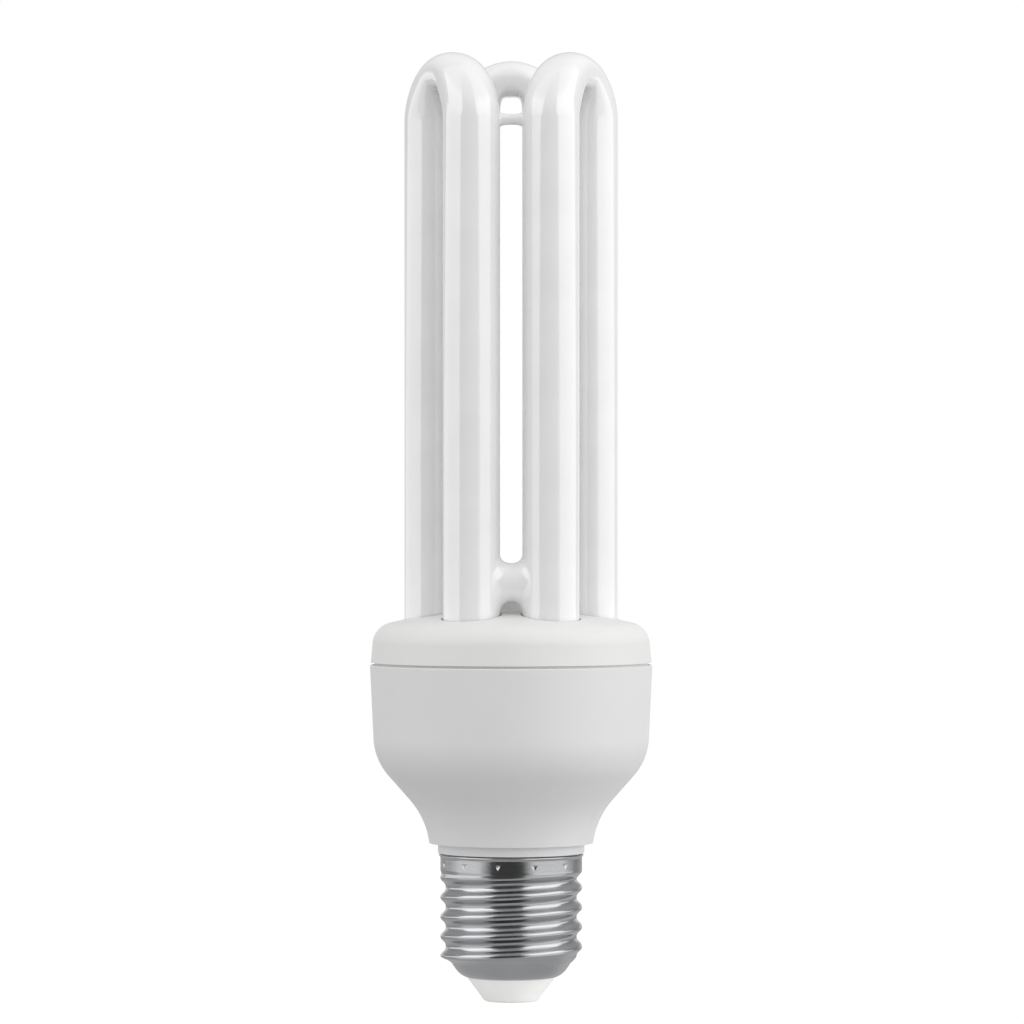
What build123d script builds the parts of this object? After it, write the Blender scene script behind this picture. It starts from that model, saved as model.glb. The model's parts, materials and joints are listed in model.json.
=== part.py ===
from build123d import *
from math import acos, asin, cos, hypot, pi, radians, sin, sqrt
import os

os.makedirs("parts", exist_ok=True)

# Compact fluorescent lamp: three glass U tubes, a two-part ballast housing and an Edison screw cap.
# Millimetres. The origin is the middle of the centre contact's underside, and +Z runs along the
# lamp's axis towards the glass. Seen from -Y, two U tubes stand in front and the third behind.

# Screw cap: right-handed round thread on a rolled sheet-metal shell
thread_major_radius = 13.1
thread_depth = 1.0
thread_pitch = 3.629
thread_turns = 4
thread_steps = 6
thread_start_angle = 171.0
thread_runout = 1.4
shell_wall = 0.4
shell_foot_height = 4.53
shell_foot_radius = 8.5
shell_foot_opening = 8.2
shell_foot_round = 1.8
shell_foot_turn = 60.0
shell_cone_height = 2.67
shell_cone_radius = 11.5
shell_cone_wall = 0.5
shell_cone_to_thread = 1.1
shell_band_height = 2.2
shell_flare_height = 1.1
shell_rim_radius = 13.5
crimp_count = 12
crimp_radius = 1.1
crimp_depth = 0.22
crimp_first_angle = 19.0

# Insulator and centre contact
insulator_tip_radius = 4.7
insulator_tip_bevel = 0.9
insulator_cone_radius = 5.55
insulator_flange_radius = 9.1
insulator_flange_height = 1.9
contact_radius = 3.6
contact_thickness = 0.8
contact_proud = 0.15
eyelet_radius = 1.3
eyelet_height = 7.2
eyelet_bore_depth = 4.0

# Lower housing, from the collar up
collar_height = 1.8
collar_radius = 13.55
spigot_depth = 10.0
spigot_wall = 1.5
neck_foot_radius = 15.15
neck_foot_angle = 7.3
neck_curve_radius = 15.0
flank_angle = 41.5
shoulder_curve_radius = 11.3
skirt_height = 13.0
skirt_draft = 0.6
rim_radius = 26.1
housing_wall = 1.5
edge_chamfer = 0.2
rib_count = 4
rib_thickness = 1.5
rib_reach = 2.1
rib_height = 8.0

# Upper cover
cover_step = 0.15
cover_draft = 0.3
cover_height = 10.4
dome_radius = 98.0
button_radius = 4.6
button_height = 1.3
button_bevel = 0.6
seam_slot_height = 0.45
seam_slot_depth = 0.7
cover_shoulder_radius = 4.2
cover_wall = 1.6
cover_ring_height = 2.0
lip_depth = 5.0
lip_wall = 1.5
snap_count = 4
snap_width = 5.0
snap_height = 1.6
snap_reach = 0.7
snap_drop = 2.6
snap_clearance = 0.2

# Glass: six legs on a hexagon, joined in pairs by flattened bends
tube_radius = 5.2
leg_gap = 4.15
glass_height = 174.9
crown_thickness = 6.5
crown_depth = 9.5
arch_power = 5.0
bend_steps = 12
leg_insertion = 9.1
leg_end_bevel = 1.2
bridge_rise = 5.15
bridge_half_height = 3.55
bridge_half_depth = 2.9
bridge_waist_margin = 0.15
bridge_sink = 1.3
bridge_steps = 2
strut_drop = 0.55
strut_radius = 0.9
pinch_width = 8.0
pinch_thickness = 2.6
pinch_height = 3.1
lead_offset = 2.0
cement_thickness = 3.5
cement_radius = 20.5

# Ballast board and the parts that hang under it
board_thickness = 1.6
board_edge_gap = 0.6
pin_side = 1.0
pin_length = 7.0
pin_below = 1.0
pin_edge_gap = 2.1
pin_spread = 15.0
filament_wire_radius = 0.25
filament_drop = 1.0
part_gap = 0.9
capacitor_radius = 4.5
capacitor_length = 18.0
capacitor_round = 0.7
capacitor_front = 1.2
choke_width = 14.0
choke_depth = 12.0
choke_core_height = 4.6
choke_back = 5.0
choke_yoke = 2.2
choke_leg = 2.4
choke_centre_leg = 3.6
choke_air_gap = 0.1
bobbin_wall = 0.6
bobbin_flange = 0.7
bobbin_height = 10.0
ring_outer_radius = 4.5
ring_inner_radius = 2.4
ring_height = 4.0
ring_place = (5.6, 11.6)
ring_winding = 0.45
ring_winding_angle = 55.0
ring_winding_count = 3
transistor_width = 7.5
transistor_height = 10.0
transistor_thickness = 2.6
transistor_hole_radius = 1.6
transistor_standoff = 1.8
transistor_places = ((-12.0, -4.9), (-12.0, -9.6))
transistor_leg_side = 0.6
transistor_leg_pitch = 2.3
rectifier_size = (5.5, 6.5, 2.6)
rectifier_edge_gap = 5.05
rectifier_back = 4.2
start_capacitor_size = (12.0, 4.5, 8.5)
start_capacitor_place = (-0.2, -13.6)
blocking_capacitor_size = (4.0, 10.0, 8.0)
blocking_capacitor_back = -5.5
block_round = 0.8
inductor_radius = 2.8
inductor_length = 8.0
inductor_place = (-3.2, -6.2)
axial_edge_distance = 3.2
axial_lead_side = 0.5
resistor_radius = 1.0
resistor_length = 5.0
resistor_angles = (305.0, 236.0, 88.0, 348.0)
diode_radius = 0.9
diode_length = 3.6
diode_angle = 285.0
axial_lead_length = 1.0
mains_lead_radius = 0.6
neutral_place = (0.6, 3.6)
neutral_below_spigot = 1.5
fuse_radius = 2.2
fuse_length = 9.0
fuse_lead_radius = 0.4
fuse_above_eyelet = 12.0

# Clearances
fit_clearance = 0.1
leg_clearance = 0.35
seat_clearance = 0.05

# Heights that follow from the sizes above, from the contact up
thread_mean_radius = thread_major_radius - thread_depth / 2
thread_root_radius = thread_major_radius - thread_depth
thread_bottom = shell_foot_height + shell_cone_height + shell_cone_to_thread
thread_top = thread_bottom + thread_turns * thread_pitch
band_bottom = thread_top + thread_runout
rim_bottom = band_bottom + shell_band_height
rim_top = rim_bottom + shell_flare_height
neck_foot = rim_top + collar_height
spigot_bottom = rim_top - spigot_depth
band_bore = thread_major_radius - shell_wall
thread_bore = thread_root_radius - shell_wall

# The bowl's outline: shoulder arc, straight flank and neck arc, tangent to each other
flank = radians(flank_angle)
foot_lean = radians(neck_foot_angle)
skirt_radius = rim_radius - skirt_draft
flank_length = (
    skirt_radius
    - neck_foot_radius
    - shoulder_curve_radius * (1 - cos(flank))
    - neck_curve_radius * (cos(foot_lean) - cos(flank))
) / sin(flank)
shoulder_height = (
    neck_foot
    + neck_curve_radius * (sin(flank) - sin(foot_lean))
    + flank_length * cos(flank)
    + shoulder_curve_radius * sin(flank)
)
seam_height = shoulder_height + skirt_height
bowl_radius = skirt_radius - housing_wall
shoulder_centre = (skirt_radius - shoulder_curve_radius, shoulder_height)
neck_centre = (
    neck_foot_radius + neck_curve_radius * cos(foot_lean),
    neck_foot - neck_curve_radius * sin(foot_lean),
)

# The cover's outline: skirt, shoulder arc and a shallow dome, tangent to each other
cover_radius = rim_radius - cover_step
cover_top = seam_height + cover_height
cover_shoulder_reach = cover_radius - cover_draft - cover_shoulder_radius
dome_centre_height = cover_top - dome_radius
cover_shoulder_height = dome_centre_height + sqrt(
    (dome_radius - cover_shoulder_radius) ** 2 - cover_shoulder_reach**2
)
dome_lean = asin(cover_shoulder_reach / (dome_radius - cover_shoulder_radius))
button_top = cover_top + button_height
lip_radius = bowl_radius - fit_clearance
lip_bore = lip_radius - lip_wall
board_top = seam_height - lip_depth
board_bottom = board_top - board_thickness
board_radius = bowl_radius - board_edge_gap
pin_radius = lip_bore - pin_edge_gap

# The glass
leg_pitch = 2 * tube_radius + leg_gap
leg_circle = leg_pitch
leg_plane = leg_pitch * cos(pi / 6)
bend_outer = leg_pitch / 2 + tube_radius
bend_height = glass_height - bend_outer
leg_bottom = cover_top - cover_wall - leg_insertion
bridge_height = cover_top + bridge_rise
strut_height = bend_height - strut_drop
electrode_angles = (180.0, 120.0)

HANGING = (Align.CENTER, Align.CENTER, Align.MAX)
STANDING = (Align.CENTER, Align.CENTER, Align.MIN)


def turned(start, *moves):
    """Solid of revolution about Z. A move is a corner (r, z), or two of them: an arc through the first."""
    edges = []
    here = Vector(start[0], 0, start[1])
    for move in moves + (start,):
        if isinstance(move[0], tuple):
            through, end = (Vector(r, 0, z) for r, z in move)
            edges.append(Edge.make_three_point_arc(here, through, end))
        else:
            end = Vector(move[0], 0, move[1])
            edges.append(Edge.make_line(here, end))
        here = end
    return revolve(Face(Wire(edges)), axis=Axis.Z)


def on_arc(centre, radius, lean):
    """Point of an arc in the turning plane, at an angle below the horizontal."""
    return (centre[0] + radius * cos(lean), centre[1] - radius * sin(lean))


def around(count, first=0.0):
    """Turns about Z that share out a full circle."""
    return [Rot(0, 0, first + 360 * k / count) for k in range(count)]


def polar(radius, angle):
    return (radius * cos(radians(angle)), radius * sin(radians(angle)))


def screw_shell():
    """Rolled shell: circles carried up the axis, each set off round it to make the round thread."""

    def circle(height, radius, offset=0.0):
        turn = radians(thread_start_angle) + 2 * pi * (height - thread_bottom) / thread_pitch
        return Pos(offset * cos(turn), offset * sin(turn), height) * Circle(radius)

    foot_turns = (0, radians(shell_foot_turn) / 2, radians(shell_foot_turn))
    rings = [
        circle(
            shell_foot_height + shell_foot_round * (1 - cos(a)),
            shell_foot_radius + shell_foot_round * sin(a),
        )
        for a in foot_turns
    ]
    cone_top = shell_foot_height + shell_cone_height
    rings.append(circle(cone_top, shell_cone_radius))
    for k in range(thread_turns * thread_steps + 1):
        height = thread_bottom + thread_pitch * k / thread_steps
        rings.append(circle(height, thread_mean_radius, thread_depth / 2))
    rings.append(circle(band_bottom, thread_major_radius))
    rings.append(circle(rim_bottom, thread_major_radius))
    rings.append(circle(rim_top, shell_rim_radius))
    shell = loft(rings, ruled=True)
    bore = turned(
        (0, 0),
        (shell_foot_opening, 0),
        (shell_foot_opening, shell_foot_height + shell_wall),
        (shell_foot_radius + shell_wall, shell_foot_height + shell_foot_round / 2),
        (shell_cone_radius - shell_cone_wall, cone_top),
        (thread_bore, thread_bottom + shell_wall),
        (thread_bore, thread_top + shell_wall / 2),
        (band_bore, band_bottom + shell_wall / 2),
        (band_bore, rim_top + shell_wall),
        (0, rim_top + shell_wall),
    )
    dent_reach = thread_major_radius + crimp_radius - crimp_depth
    dent_height = (band_bottom + rim_bottom) / 2
    dents = [
        turn * Pos(dent_reach, 0, dent_height) * Sphere(crimp_radius)
        for turn in around(crimp_count, crimp_first_angle)
    ]
    return shell - bore - dents


def cap_insulator():
    """White cone with a flange that the shell's foot holds, and a seat for the contact."""
    flange_bottom = shell_foot_height + shell_wall + seat_clearance
    flange_top = flange_bottom + insulator_flange_height
    neck_radius = shell_foot_opening - seat_clearance
    return turned(
        (contact_radius + seat_clearance, contact_proud),
        (insulator_tip_radius, contact_proud),
        (insulator_cone_radius, contact_proud + insulator_tip_bevel),
        (neck_radius, shell_foot_height),
        (neck_radius, flange_bottom),
        (insulator_flange_radius, flange_bottom + insulator_flange_radius - neck_radius),
        (insulator_flange_radius, flange_top),
        (eyelet_radius + seat_clearance, flange_top),
        (eyelet_radius + seat_clearance, contact_thickness),
        (contact_radius + seat_clearance, contact_thickness),
    )


def centre_contact():
    """Flat contact with an eyelet up through the insulator, bored for the fuse's lead."""
    bore = fuse_lead_radius + seat_clearance
    return turned(
        (0, 0),
        (contact_radius, 0),
        (contact_radius, contact_thickness - seat_clearance),
        (eyelet_radius, contact_thickness - seat_clearance),
        (eyelet_radius, eyelet_height),
        (bore, eyelet_height),
        (bore, eyelet_height - eyelet_bore_depth),
        (0, eyelet_height - eyelet_bore_depth),
    )


def lower_housing():
    """Moulded bowl with a necked spigot for the cap, board ribs and pockets for the cover's snaps."""
    floor = neck_foot + housing_wall
    inner_shoulder = shoulder_curve_radius - housing_wall
    inner_neck = neck_curve_radius + housing_wall
    floor_lean = asin((floor - neck_centre[1]) / inner_neck)
    spigot_band = band_bore - fit_clearance
    spigot_radius = thread_bore - fit_clearance
    outside = (
        (rim_radius - edge_chamfer, seam_height),
        (rim_radius, seam_height - edge_chamfer),
        (skirt_radius, shoulder_height),
        (
            on_arc(shoulder_centre, shoulder_curve_radius, flank / 2),
            on_arc(shoulder_centre, shoulder_curve_radius, flank),
        ),
        on_arc(neck_centre, -neck_curve_radius, flank),
        (
            on_arc(neck_centre, -neck_curve_radius, (flank + foot_lean) / 2),
            on_arc(neck_centre, -neck_curve_radius, foot_lean),
        ),
        (collar_radius, neck_foot),
        (collar_radius, rim_top),
        (spigot_band, rim_top),
        (spigot_band, band_bottom + shell_wall / 2),
        (spigot_radius, thread_top + shell_wall / 2),
        (spigot_radius, spigot_bottom),
    )
    inside = (
        (spigot_radius - spigot_wall, spigot_bottom),
        (spigot_radius - spigot_wall, floor),
        on_arc(neck_centre, -inner_neck, floor_lean),
        (
            on_arc(neck_centre, -inner_neck, (flank + floor_lean) / 2),
            on_arc(neck_centre, -inner_neck, flank),
        ),
        on_arc(shoulder_centre, inner_shoulder, flank),
        (
            on_arc(shoulder_centre, inner_shoulder, flank / 2),
            (bowl_radius, shoulder_height),
        ),
        (bowl_radius, seam_height),
    )
    bowl = turned(*outside, *inside)
    rib_length = rib_reach + housing_wall / 2
    rib = Pos(bowl_radius - rib_reach, 0, board_bottom) * Box(
        rib_length, rib_thickness, rib_height, align=(Align.MIN, Align.CENTER, Align.MAX)
    )
    bowl += [turn * rib for turn in around(rib_count)]
    pocket = Pos(bowl_radius, 0, seam_height - snap_drop) * Box(
        2 * (snap_reach + fit_clearance),
        snap_width + 2 * snap_clearance,
        snap_height + 2 * snap_clearance,
    )
    return bowl - [turn * pocket for turn in around(snap_count, 45)]


def upper_cover():
    """Moulded cover: domed top with a middle button and six leg holes, and a lip that snaps into the bowl."""
    dome_centre = (0, dome_centre_height)
    shoulder = (cover_shoulder_reach, cover_shoulder_height)
    ring_radius = cover_radius - cover_draft - cover_wall
    ring_top = seam_height + cover_ring_height
    rise = pi / 2 - dome_lean
    button_edge = acos(button_radius / dome_radius)
    slot_radius = cover_radius - seam_slot_depth
    slot_top = seam_height + seam_slot_height
    inner_dome = dome_radius - cover_wall
    inner_shoulder = cover_shoulder_radius - cover_wall
    cover = turned(
        (lip_bore, board_top),
        (lip_radius, board_top),
        (lip_radius, seam_height),
        (slot_radius, seam_height),
        (slot_radius, slot_top),
        (cover_radius, slot_top),
        (cover_radius - cover_draft, cover_shoulder_height),
        (
            on_arc(shoulder, cover_shoulder_radius, -rise / 2),
            on_arc(shoulder, cover_shoulder_radius, -rise),
        ),
        (
            on_arc(dome_centre, dome_radius, -(rise + button_edge) / 2),
            on_arc(dome_centre, dome_radius, -button_edge),
        ),
        (button_radius - button_bevel, button_top),
        (0, button_top),
        (0, cover_top - cover_wall),
        (
            on_arc(dome_centre, inner_dome, -(rise + pi / 2) / 2),
            on_arc(dome_centre, inner_dome, -rise),
        ),
        (on_arc(shoulder, inner_shoulder, -rise / 2), (ring_radius, cover_shoulder_height)),
        (ring_radius, ring_top),
        (lip_bore, ring_top),
    )
    hole = Pos(leg_circle, 0, seam_height) * Cylinder(
        tube_radius + leg_clearance, 2 * cover_height, align=STANDING
    )
    cover -= [turn * hole for turn in around(6)]
    snap = Pos(lip_radius - lip_wall / 2, 0, seam_height - snap_drop) * Box(
        lip_wall / 2 + snap_reach,
        snap_width,
        snap_height,
        align=(Align.MIN, Align.CENTER, Align.CENTER),
    )
    return cover + [turn * snap for turn in around(snap_count, 45)]


def bend_section(step):
    """Slice of a bend, from the outer semicircle to a square-shouldered inner arch, narrower at the crown."""
    turn = pi * step / bend_steps
    outer = (bend_outer * cos(turn), bend_outer * sin(turn))
    from_crown = 1 - 2 * step / bend_steps
    lean = pi / 2 * (1 - (1 - abs(from_crown)) ** (arch_power / 2))
    arch_reach = leg_gap / 2 * sin(lean) ** (2 / arch_power)
    arch_rise = (bend_outer - crown_thickness) * abs(round(cos(lean), 9)) ** (2 / arch_power)
    inner = (arch_reach if from_crown > 0 else -arch_reach, arch_rise)
    depth = tube_radius - (tube_radius - crown_depth / 2) * sin(turn) ** 2
    across = (outer[0] - inner[0], outer[1] - inner[1])
    half = hypot(*across) / 2
    middle = ((outer[0] + inner[0]) / 2, 0, (outer[1] + inner[1]) / 2)
    plane = Plane(origin=middle, x_dir=(0, 1, 0), z_dir=(-across[1], 0, across[0]))
    return plane * Ellipse(depth, min(half, tube_radius))


def between_legs(angle, height, shape):
    """Place a shape that lies along X between the two legs either side of an angle."""
    return Rot(0, 0, angle - 90) * Pos(0, leg_plane, height) * shape


def glass_bridge():
    """Waisted glass neck between two legs: an arc swells it to their sides, where it sinks in."""
    waist = leg_gap / 2 + bridge_waist_margin
    widest = asin(leg_gap / 2 / waist)
    turns = [widest * k / bridge_steps for k in range(-bridge_steps, bridge_steps + 1)]
    stations = [(waist * sin(t), waist * (1 - cos(t))) for t in turns]
    reach, swell = stations[-1]
    stations = [(-reach - bridge_sink, swell), *stations, (reach + bridge_sink, swell)]
    slices = []
    for along, grow in stations:
        plane = Plane(origin=(along, 0, 0), x_dir=(0, 0, 1), z_dir=(1, 0, 0))
        section = Ellipse(bridge_half_height + grow, bridge_half_depth + grow / 2)
        slices.append(plane * section)
    return loft(slices, ruled=True)


def discharge_tube():
    """Three U tubes fused by two low bridges and a high strut, with two pinched electrode ends."""
    slices = [bend_section(step) for step in range(bend_steps + 1)]
    bend = Part() + [loft(list(pair), ruled=True) for pair in zip(slices, slices[1:])]
    leg = Cylinder(tube_radius, bend_height - leg_bottom, align=STANDING)
    leg = chamfer(leg.edges().group_by(Axis.Z)[0], leg_end_bevel)
    u_tube = Pos(0, 0, bend_height) * bend
    for side in (-1, 1):
        u_tube += Pos(side * leg_pitch / 2, 0, leg_bottom) * leg
    glass = Part() + [turn * Pos(0, leg_plane, 0) * u_tube for turn in around(3)]
    for angle in (270, 30):
        glass += between_legs(angle, bridge_height, glass_bridge())
    strut = Rot(0, 90, 0) * Cylinder(strut_radius, leg_pitch - tube_radius)
    glass += between_legs(270, strut_height, strut)
    pinch = Pos(leg_circle, 0, leg_bottom + leg_end_bevel) * Box(
        pinch_thickness, pinch_width, pinch_height + leg_end_bevel, align=HANGING
    )
    return glass + [Rot(0, 0, angle) * pinch for angle in electrode_angles]


def tube_cement():
    """Cement bed that grips the six legs, its top edge against the dome."""
    top = dome_centre_height + sqrt((dome_radius - cover_wall) ** 2 - cement_radius**2)
    bed = Pos(0, 0, top) * Cylinder(cement_radius, cement_thickness, align=HANGING)
    hole = Pos(leg_circle, 0, top) * Cylinder(tube_radius + seat_clearance, 3 * cement_thickness)
    return bed - [turn * hole for turn in around(6)]


def pin_places():
    """Plan position and turn of each wrap pin, with the lead that runs to it."""
    places = []
    for electrode in electrode_angles:
        for side in (-1, 1):
            pin = Vector(*polar(pin_radius, electrode + side * pin_spread))
            lead = Vector(leg_circle, side * lead_offset).rotate(Axis.Z, electrode)
            places.append((pin, lead))
    return places


def wrap_pins():
    """Four square pins through the board, each facing its lead."""
    pins = []
    for pin, lead in pin_places():
        turn = (pin - lead).get_signed_angle(Vector(1, 0, 0), Vector(0, 0, -1))
        body = Box(pin_side, pin_side, pin_length, align=STANDING)
        pins.append(Pos(pin.X, pin.Y, board_bottom - pin_below) * Rot(0, 0, turn) * body)
    return Part() + pins


def filament_leads():
    """Four wires drawn straight from the pinched ends to the pins."""
    top = leg_bottom - pinch_height
    wires = []
    for pin, lead in pin_places():
        across = pin - lead
        end = lead + across.normalized() * (across.length - pin_side / 2 - seat_clearance)
        start = Vector(lead.X, lead.Y, top - filament_wire_radius)
        run = Vector(end.X, end.Y, top - filament_drop) - start
        plane = Plane(origin=start, z_dir=run)
        wires.append(extrude(plane * Circle(filament_wire_radius), run.length))
    return Part() + wires


def circuit_board():
    """Round board with a square hole for each pin."""
    board = Pos(0, 0, board_bottom) * Cylinder(board_radius, board_thickness, align=STANDING)
    side = pin_side + 2 * seat_clearance
    for pin, lead in pin_places():
        turn = (pin - lead).get_signed_angle(Vector(1, 0, 0), Vector(0, 0, -1))
        hole = Box(side, side, 4 * board_thickness)
        board -= Pos(pin.X, pin.Y, board_bottom) * Rot(0, 0, turn) * hole
    return board


def under_board(place, shape):
    """Move a shape made at the origin to a plan position on the board's underside."""
    return Pos(place[0], place[1], board_bottom) * shape


capacitor_place = (mains_lead_radius + part_gap + capacitor_radius, -capacitor_front)
choke_place = (-(mains_lead_radius + part_gap + choke_width / 2), choke_back)
choke_drop = bobbin_height / 2


def electrolytic_capacitor():
    """Sleeved can with a rounded end and a rolled groove near the board."""
    groove = capacitor_round / 2
    can = turned(
        (0, 0),
        (capacitor_radius, 0),
        (capacitor_radius, -2 * capacitor_round),
        (capacitor_radius - groove, -3 * capacitor_round),
        (capacitor_radius, -4 * capacitor_round),
        (capacitor_radius, capacitor_round - capacitor_length),
        (capacitor_radius - capacitor_round, -capacitor_length),
        (0, -capacitor_length),
    )
    return under_board(capacitor_place, can)


def choke_core(side):
    """One E-shaped ferrite half: a yoke and three legs that meet the other half."""
    depth = choke_depth / 2 - choke_air_gap / 2
    yoke = Pos(0, choke_depth / 2, 0) * Box(
        choke_width, choke_yoke, choke_core_height, align=(Align.CENTER, Align.MAX, Align.CENTER)
    )
    outer = (choke_width - choke_leg) / 2
    for centre, width in ((-outer, choke_leg), (0, choke_centre_leg), (outer, choke_leg)):
        yoke += Pos(centre, choke_depth / 2, 0) * Box(
            width, depth, choke_core_height, align=(Align.CENTER, Align.MAX, Align.CENTER)
        )
    half = Rot(0, 0, 0 if side > 0 else 180) * yoke
    return under_board(choke_place, Pos(0, 0, -choke_drop) * half)


def bobbin_tube(extra):
    """Width and height of the bobbin's tube, grown by an amount on each side."""
    grow = 2 * (fit_clearance + extra)
    return (choke_centre_leg + grow, choke_core_height + grow)


bobbin_length = choke_depth - 2 * choke_yoke - 2 * fit_clearance
bobbin_width = choke_width - 2 * choke_leg - 2 * fit_clearance


def choke_bobbin():
    """Moulded bobbin: a square tube on the centre leg with a flange at each end."""
    tube = bobbin_tube(bobbin_wall)
    hole = bobbin_tube(0)
    body = Box(tube[0], bobbin_length, tube[1])
    for side in (-1, 1):
        place = side * (bobbin_length - bobbin_flange) / 2
        body += Pos(0, place, 0) * Box(bobbin_width, bobbin_flange, bobbin_height)
    body -= Box(hole[0], 2 * bobbin_length, hole[1])
    return under_board(choke_place, Pos(0, 0, -choke_drop) * body)


def choke_winding():
    """Coil of enamelled wire, as one round-cornered block about the bobbin's tube."""
    inner = bobbin_tube(bobbin_wall + seat_clearance)
    length = bobbin_length - 2 * bobbin_flange - 2 * seat_clearance
    coil = Box(bobbin_width - part_gap, length, bobbin_height - part_gap)
    coil = fillet(coil.edges().filter_by(Axis.Y), (bobbin_width - part_gap - inner[0]) / 3)
    coil -= Box(inner[0], 2 * length, inner[1])
    return under_board(choke_place, Pos(0, 0, -choke_drop) * coil)


ring_drop = ring_height / 2 + ring_winding


def ring_section(grow):
    """Cross-section of the drive transformer's ring, grown by an amount all round."""
    width = ring_outer_radius - ring_inner_radius + 2 * grow
    middle = (ring_outer_radius + ring_inner_radius) / 2
    return Plane.XZ * Pos(middle, 0) * Rectangle(width, ring_height + 2 * grow)


def drive_core():
    """Ferrite ring of the drive transformer."""
    return under_board(ring_place, Pos(0, 0, -ring_drop) * revolve(ring_section(0), axis=Axis.Z))


def drive_windings():
    """The three windings of the drive transformer, each a sleeve of turns on the ring."""
    sleeve = ring_section(ring_winding) - ring_section(seat_clearance)
    coil = revolve(sleeve, axis=Axis.Z, revolution_arc=ring_winding_angle)
    coils = [turn * coil for turn in around(ring_winding_count)]
    return under_board(ring_place, Pos(0, 0, -ring_drop) * (Part() + coils))


def transistor(place):
    """Flat moulded package with a screw hole, standing off the board on three legs."""
    body = Pos(0, 0, -transistor_standoff) * Box(
        transistor_width, transistor_thickness, transistor_height, align=HANGING
    )
    hole_height = transistor_standoff + transistor_height - 2 * transistor_hole_radius
    body -= Pos(0, 0, -hole_height) * Rot(90, 0, 0) * Cylinder(
        transistor_hole_radius, 2 * transistor_thickness
    )
    for side in (-1, 0, 1):
        body += Pos(side * transistor_leg_pitch, 0, 0) * Box(
            transistor_leg_side, transistor_leg_side, 2 * transistor_standoff, align=HANGING
        )
    return under_board(place, body)


def block(size, place):
    """Dipped or moulded block part, its upright edges rounded."""
    body = Box(*size, align=HANGING)
    body = fillet(body.edges().filter_by(Axis.Z), block_round)
    return under_board(place, body)


rectifier_place = (board_radius - rectifier_edge_gap - rectifier_size[0] / 2, rectifier_back)
blocking_capacitor_place = (
    capacitor_place[0] + capacitor_radius + part_gap + blocking_capacitor_size[0] / 2,
    blocking_capacitor_back,
)


def filter_inductor():
    """Drum inductor in a shrink sleeve, standing on the board."""
    shrink = inductor_radius / 5
    drum = turned(
        (0, 0),
        (inductor_radius, 0),
        (inductor_radius, shrink - inductor_length),
        (inductor_radius - shrink, -inductor_length),
        (0, -inductor_length),
    )
    return under_board(inductor_place, drum)


def axial_part(radius, length, angle):
    """Axial part lying near the board's edge, its leads bent up to the board."""
    reach = length + 2 * axial_lead_length
    body = Pos(0, 0, -radius) * Rot(90, 0, 0) * Cylinder(radius, length)
    body += Pos(0, 0, -radius) * Box(axial_lead_side, reach, axial_lead_side)
    for side in (-1, 1):
        body += Pos(0, side * (reach - axial_lead_side) / 2, 0) * Box(
            axial_lead_side, axial_lead_side, radius, align=HANGING
        )
    place = polar(board_radius - axial_edge_distance, angle)
    return under_board(place, Rot(0, 0, angle) * body)


fuse_bottom = eyelet_height + fuse_above_eyelet


def fuse_resistor():
    """Sleeved fusible resistor on the axis, its lower lead down in the contact's eyelet."""
    body = Pos(0, 0, fuse_bottom) * Cylinder(fuse_radius, fuse_length, align=STANDING)
    lead_end = eyelet_height - eyelet_bore_depth
    lead = Pos(0, 0, lead_end) * Cylinder(fuse_lead_radius, fuse_bottom - lead_end, align=STANDING)
    return body + lead


def live_lead():
    """Insulated wire from the board straight down to the fuse."""
    start = fuse_bottom + fuse_length
    length = board_bottom - start
    return Pos(0, 0, start) * Cylinder(mains_lead_radius, length, align=STANDING)


def neutral_lead():
    """Wire from the board down past the spigot and out to the inside of the screw shell."""
    low = spigot_bottom - neutral_below_spigot
    x, y = neutral_place
    away = (thread_bore - seat_clearance) / hypot(x, y)
    path = Polyline((x, y, board_bottom), (x, y, low), (x * away, y * away, low))
    section = Plane(origin=path @ 0, z_dir=path % 0) * Circle(mains_lead_radius)
    return sweep(section, path=path, transition=Transition.RIGHT)


pieces = {
    "discharge_tube": discharge_tube(),
    "tube_cement": tube_cement(),
    "upper_cover": upper_cover(),
    "lower_housing": lower_housing(),
    "screw_shell": screw_shell(),
    "cap_insulator": cap_insulator(),
    "centre_contact": centre_contact(),
    "circuit_board": circuit_board(),
    "wrap_pins": wrap_pins(),
    "filament_leads": filament_leads(),
    "electrolytic_capacitor": electrolytic_capacitor(),
    "choke_core_front": choke_core(-1),
    "choke_core_rear": choke_core(1),
    "choke_bobbin": choke_bobbin(),
    "choke_winding": choke_winding(),
    "drive_core": drive_core(),
    "drive_windings": drive_windings(),
    "bridge_rectifier": block(rectifier_size, rectifier_place),
    "start_capacitor": block(start_capacitor_size, start_capacitor_place),
    "blocking_capacitor": block(blocking_capacitor_size, blocking_capacitor_place),
    "filter_inductor": filter_inductor(),
    "trigger_diode": axial_part(diode_radius, diode_length, diode_angle),
    "live_lead": live_lead(),
    "fuse_resistor": fuse_resistor(),
    "neutral_lead": neutral_lead(),
}
for number, place in enumerate(transistor_places, 1):
    pieces[f"transistor_{number}"] = transistor(place)
for number, angle in enumerate(resistor_angles, 1):
    pieces[f"resistor_{number}"] = axial_part(resistor_radius, resistor_length, angle)

for node, piece in pieces.items():
    export_step(piece, f"parts/{node}.step")
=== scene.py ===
"""Looks of a compact fluorescent lamp with three glass U tubes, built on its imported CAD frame."""

import json
from math import radians

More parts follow.
